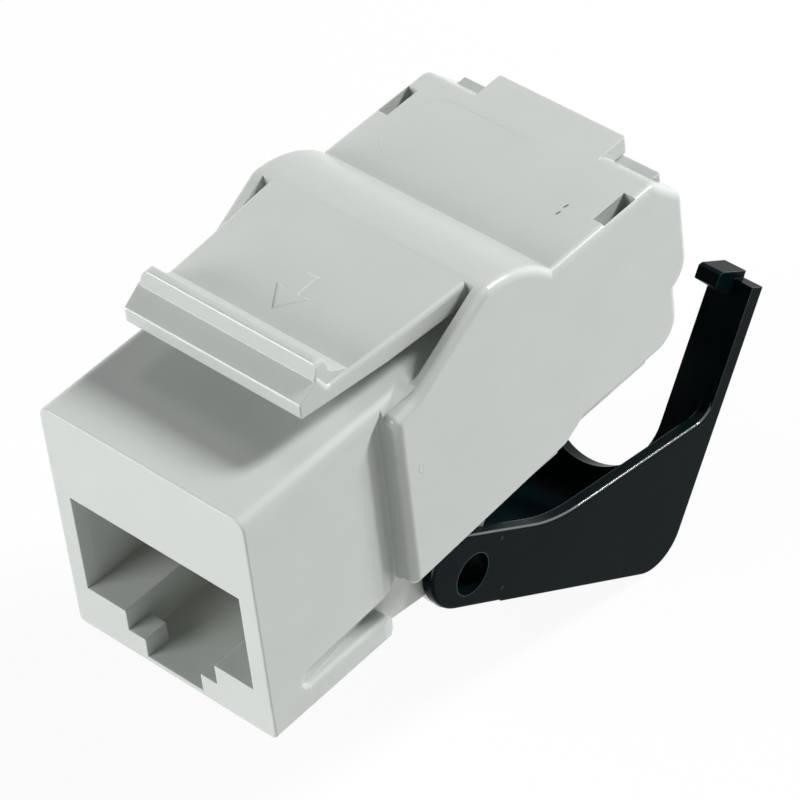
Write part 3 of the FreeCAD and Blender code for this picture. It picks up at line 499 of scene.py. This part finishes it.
# ---- operators -------------------------------------------------------------------
class JACK_OT_housing(bpy.types.Operator):
    """Light grey moulding, with the marks on its latch, its rear top and its right cheek"""

    bl_idname = "jack.housing"
    bl_label = "Housing"

    def execute(self, context):
        finishes, marks = context.scene.jack_finishes, context.scene.jack_marks
        # painted_edge_highlight paints the housing's edges a tenth lighter: a painted highlight.
        grey = plastic("housing_plastic", tuple(finishes.housing_colour), rough=0.20, grain_depth=0.035,
                       flow_depth=0.06, spread=0.012, painted_edge_highlight=1.10, edge_gloss=0.6, soft=0.12)
        dress([HOUSING], grey)
        low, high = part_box(HOUSING)
        latch_marks(marks, grey, low.y, high.z - LATCH_DROP)
        rear_marks(marks, grey, tuple(finishes.housing_colour), high.z - REAR_DROP)
        blemish = stepped_pad(circle(CHEEK_MARK_RADIUS, 24) * CHEEK_MARK_STRETCH,
                              PIN_PROFILE * (1, CHEEK_MARK_HEIGHT),
                              (high.x, *CHEEK_MARK), (0, 1, 0), (0, 0, 1), (1, 0, 0))
        mesh_object("cheek_mark", *blemish, "jack", grey, "housing_plastic")
        return {"FINISHED"}


def latch_marks(marks, grey, face, level):
    """Raised arrow with its tip towards the face, and an ejector pin mark behind it."""
    tall = marks.arrow_height
    sides = [(1.12, -ARROW_FOOT), (1.05, tall * 0.35), (0.98, tall * 0.8), (0.90, tall), (0.5, tall)]
    arrow = stepped_pad(arrow_outline(marks.arrow_length, marks.arrow_width), sides,
                        (0, face + ARROW_SETBACK, level), (1, 0, 0), (0, -1, 0), (0, 0, 1))
    mesh_object("latch_arrow", *arrow, "jack", grey, "housing_plastic", smooth=False)
    pin = stepped_pad(circle(marks.ejector_radius), PIN_PROFILE * (1, marks.ejector_height),
                      (0, face + LATCH_PIN_SETBACK, level), (1, 0, 0), (0, 1, 0), (0, 0, 1))
    mesh_object("latch_pin_mark", *pin, "jack", grey, "housing_plastic")


def rear_marks(marks, grey, housing_colour, level):
    """Fine line of the mould insert, and two raised gate nicks painted dark as the shade of pits."""
    line = raised_line(insert_path(), marks.witness_width, marks.witness_height, level)
    mesh_object("witness_line", *line, "jack", grey, "housing_plastic", smooth=False)
    lean = np.array((NICK_LEAN, marks.nick_length / 2))
    nicks = [raised_line(np.linspace(middle - lean, middle + lean, 9), NICK_WIDTH, NICK_HEIGHT, level)
             for middle in NICK_PLACES]
    # Painted shade: the nicks are dark in colour, standing in for the shade in pits.
    pit_shade_plastic = plastic("gate_nick_painted_shade", scaled(housing_colour, NICK_PAINTED_SHADE), rough=0.6, grain_depth=0.3,
                      flow_depth=0.2, spread=0.2)
    mesh_object("gate_nicks", *joined(nicks), "jack", pit_shade_plastic, "housing_plastic")


class JACK_OT_contacts(bpy.types.Operator):
    """Gold contact wires over the socket, and the carrier that holds them"""

    bl_idname = "jack.contacts"
    bl_label = "Contacts"

    def execute(self, context):
        finishes = context.scene.jack_finishes
        dress(CONTACTS, metal("gold_wire", tuple(finishes.gold_colour), rough=0.22))
        dress(["contact_carrier"], plastic("carrier_plastic", tuple(finishes.carrier_colour), rough=0.45,
                                           grain_depth=0.2, flow_depth=0.1))
        return {"FINISHED"}


class JACK_OT_block(bpy.types.Operator):
    """Circuit board, block and tinned blades"""

    bl_idname = "jack.block"
    bl_label = "Board, block and blades"

    def execute(self, context):
        finishes = context.scene.jack_finishes
        dress(["circuit_board"], plastic("board_laminate", tuple(finishes.board_colour), rough=0.3,
                                         grain_depth=0.2, flow_depth=0.2, edge_gloss=0.2))
        dress(["idc_block"], plastic("block_plastic", tuple(finishes.carrier_colour), rough=0.42,
                                     grain_depth=0.2, flow_depth=0.1))
        dress(BLADES, metal("tinned_blade", tuple(finishes.tin_colour), rough=0.3))
        return {"FINISHED"}


class JACK_OT_manager(bpy.types.Operator):
    """Sliding wire manager at the rear"""

    bl_idname = "jack.manager"
    bl_label = "Wire manager"

    def execute(self, context):
        finishes = context.scene.jack_finishes
        # painted_edge_highlight paints the manager's edges a tenth lighter: a painted highlight.
        dress(["wire_manager"], plastic("manager_plastic", tuple(finishes.manager_colour), rough=0.36,
                                        grain_depth=0.12, flow_depth=0.1, spread=0.015, painted_edge_highlight=1.1,
                                        soft=0.1))
        return {"FINISHED"}


class JACK_OT_lever(bpy.types.Operator):
    """Glossy black lever, with two pin marks on its right arm"""

    bl_idname = "jack.lever"
    bl_label = "Lever"

    def execute(self, context):
        finishes, marks = context.scene.jack_finishes, context.scene.jack_marks
        # Painted highlights: painted_edge_highlight doubles the colour on the lever's sharp edges, and its
        # rounded upper edges take the lever-edge colour.
        black = plastic("lever_plastic", tuple(finishes.lever_colour), rough=0.26, grain_depth=0.05,
                        flow_depth=0.05, spread=0.10, painted_edge_highlight=2.0, edge_gloss=1.0, shine=0.02,
                        painted_highlight=tuple(finishes.lever_edge_highlight), reach=LEVER_EDGE_REACH)
        dress([LEVER], black)
        pale = scaled(tuple(finishes.lever_colour), LEVER_PIN_LIFT)
        dull = plastic("lever_pin_plastic", pale, rough=0.3, grain_depth=0.05, flow_depth=0.05, spread=0.10,
                       edge_gloss=0.1, shine=0.05, reach=NO_EDGE_REACH)
        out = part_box(LEVER)[1].x
        pads = [stepped_pad(circle(marks.pin_radius), PIN_PROFILE * (1, marks.ejector_height),
                            (out, *spot), (0, 1, 0), (0, 0, 1), (1, 0, 0)) for spot in LEVER_PINS]
        mesh_object("lever_pin_marks", *joined(pads), "lever", dull, "lever_plastic")
        return {"FINISHED"}


class JACK_OT_studio(bpy.types.Operator):
    """Pale floor, soft lamps, surround and camera"""

    bl_idname = "jack.studio"
    bl_label = "Studio"

    def execute(self, context):
        scene = context.scene
        studio = scene.jack_studio
        floor_z = cad_box[0][2] - studio.floor_gap
        signs = ((-1, -1), (1, -1), (1, 1), (-1, 1))
        corners = [(x * FLOOR_REACH, y * FLOOR_REACH, floor_z) for x, y in signs]
        mesh = bpy.data.meshes.new("floor")
        mesh.from_pydata(corners, [], [(0, 1, 2, 3)])
        mesh.materials.append(floor_material(tuple(studio.floor_colour)))
        floor = bpy.data.objects.new("floor", mesh)
        scene.collection.objects.link(floor)
        surround(studio.sky)
        lamp("key_lamp", KEY_WAY, KEY_SIZE, studio.key_power)
        lamp("front_lamp", FRONT_WAY, FRONT_SIZE, studio.front_power)
        camera()
        scene.view_settings.view_transform = "Standard"
        return {"FINISHED"}


def plain_view(tree, place):
    """One where a surface is seen by the camera, in gloss or through glass, else nought."""
    path = put(tree, "ShaderNodeLightPath", place)
    total = path.outputs["Is Camera Ray"]
    for step, name in enumerate(("Is Glossy Ray", "Is Transmission Ray"), start=1):
        beside = (place[0] + 180 * step, place[1])
        total = calculate(tree, beside, "ADD", total, path.outputs[name], clamp=True)
    return total


def mix_shaders(tree, place, share, first, second, out):
    """Leads two shaders, mixed by a share, into an output's surface."""
    mix = put(tree, "ShaderNodeMixShader", place)
    for socket, source in zip(mix.inputs, (share, first.outputs[0], second.outputs[0])):
        tree.links.new(source, socket)
    tree.links.new(mix.outputs[0], out.inputs["Surface"])


def floor_material(rgb):
    """Pale floor: seen straight on or in gloss it stays near white and keeps the soft shadow."""
    material, tree, shader = new_material("pale_floor")
    place = put(tree, "ShaderNodeTexCoord", (-900, 0))
    pattern = noise(tree, (-700, 0), place.outputs["Object"], 40.0, 4.0, 0.5)
    blotches = ramp(tree, (-550, 0), 0.0, 1.0, pattern)
    pale = blend_colours(tree, (-400, 0), blotches, scaled(rgb, 0.985), rgb)
    tree.links.new(pale, shader.inputs["Base Color"])
    tree.links.new(ramp(tree, (-400, -200), 0.55, 0.75, pattern), shader.inputs["Roughness"])
    glow = put(tree, "ShaderNodeEmission", (0, -300), Color=(1, 1, 1, 1), Strength=1.0)
    share = calculate(tree, (50, 500), "MULTIPLY", plain_view(tree, (-500, 500)), FLOOR_GLOW)
    mix_shaders(tree, (250, 0), share, shader, glow, tree.nodes["Material Output"])
    return material


def surround(strength):
    """Even pale surround, white where the camera sees it."""
    world = bpy.context.scene.world or bpy.data.worlds.new("surround")
    bpy.context.scene.world = world
    world.use_nodes = True
    tree = world.node_tree
    tree.nodes.clear()
    out = put(tree, "ShaderNodeOutputWorld", (400, 0))
    soft = put(tree, "ShaderNodeBackground", (0, 0), Color=(1, 1, 1, 1), Strength=strength)
    white = put(tree, "ShaderNodeBackground", (0, -200), Color=(1, 1, 1, 1), Strength=1.0)
    mix_shaders(tree, (200, 0), plain_view(tree, (-500, 300)), soft, white, out)


def lamp(name, way, size, watts):
    """Soft rectangular lamp, in a direction from the jack's middle and turned towards it."""
    data = bpy.data.lights.new(name, "AREA")
    data.shape = "RECTANGLE"
    data.size, data.size_y = size
    data.energy = watts
    thing = bpy.data.objects.new(name, data)
    bpy.context.scene.collection.objects.link(thing)
    thing.location = LAMP_AIM + way * LAMP_DISTANCE
    thing.rotation_euler = (LAMP_AIM - thing.location).to_track_quat("-Z", "Y").to_euler()


def camera():
    """Camera in front, to the right and above, turned slightly about its view line."""
    ahead = Vector((-math.sin(CAMERA_AROUND) * math.cos(CAMERA_ABOVE),
                    math.cos(CAMERA_AROUND) * math.cos(CAMERA_ABOVE), -math.sin(CAMERA_ABOVE)))
    level = Vector((math.cos(CAMERA_AROUND), math.sin(CAMERA_AROUND), 0))
    upright = level.cross(ahead)
    right = level * math.cos(CAMERA_ROLL) + upright * math.sin(CAMERA_ROLL)
    up = -level * math.sin(CAMERA_ROLL) + upright * math.cos(CAMERA_ROLL)
    place = CAMERA_AIM + right * CAMERA_ASIDE + up * CAMERA_RAISED - ahead * CAMERA_DISTANCE
    data = bpy.data.cameras.new("camera")
    data.sensor_width = SENSOR_WIDTH
    data.lens = FOCAL_LENGTH
    data.clip_start, data.clip_end = 0.01, 20
    thing = bpy.data.objects.new("camera", data)
    bpy.context.scene.collection.objects.link(thing)
    turned = Matrix((right, up, -ahead)).transposed().to_4x4()
    thing.matrix_world = Matrix.Translation(place) @ turned
    bpy.context.scene.camera = thing


class JACK_PT_panel(bpy.types.Panel):
    """Lists the jack's sizes, colours and pieces"""

    bl_label = "Keystone jack"
    bl_idname = "JACK_PT_panel"
    bl_space_type = "VIEW_3D"
    bl_region_type = "UI"
    bl_category = "Jack"

    def draw(self, context):
        for group in (context.scene.jack_finishes, context.scene.jack_marks, context.scene.jack_studio):
            box = self.layout.box()
            for name in group.__annotations__:
                box.prop(group, name)
        for operator in OPERATORS:
            self.layout.operator(operator.bl_idname)


OPERATORS = [JACK_OT_housing, JACK_OT_contacts, JACK_OT_block, JACK_OT_manager, JACK_OT_lever, JACK_OT_studio]
CLASSES = [JackFinishes, JackMarks, JackStudio, *OPERATORS, JACK_PT_panel]


def register():
    for each in CLASSES:
        bpy.utils.register_class(each)
    bpy.types.Scene.jack_finishes = bpy.props.PointerProperty(type=JackFinishes)
    bpy.types.Scene.jack_marks = bpy.props.PointerProperty(type=JackMarks)
    bpy.types.Scene.jack_studio = bpy.props.PointerProperty(type=JackStudio)


def unregister():
    for name in ("jack_finishes", "jack_marks", "jack_studio"):
        delattr(bpy.types.Scene, name)
    for each in reversed(CLASSES):
        bpy.utils.unregister_class(each)


def main():
    register()
    bpy.ops.jack.housing()
    bpy.ops.jack.contacts()
    bpy.ops.jack.block()
    bpy.ops.jack.manager()
    bpy.ops.jack.lever()
    bpy.ops.jack.studio()


if __name__ == "__main__":
    main()
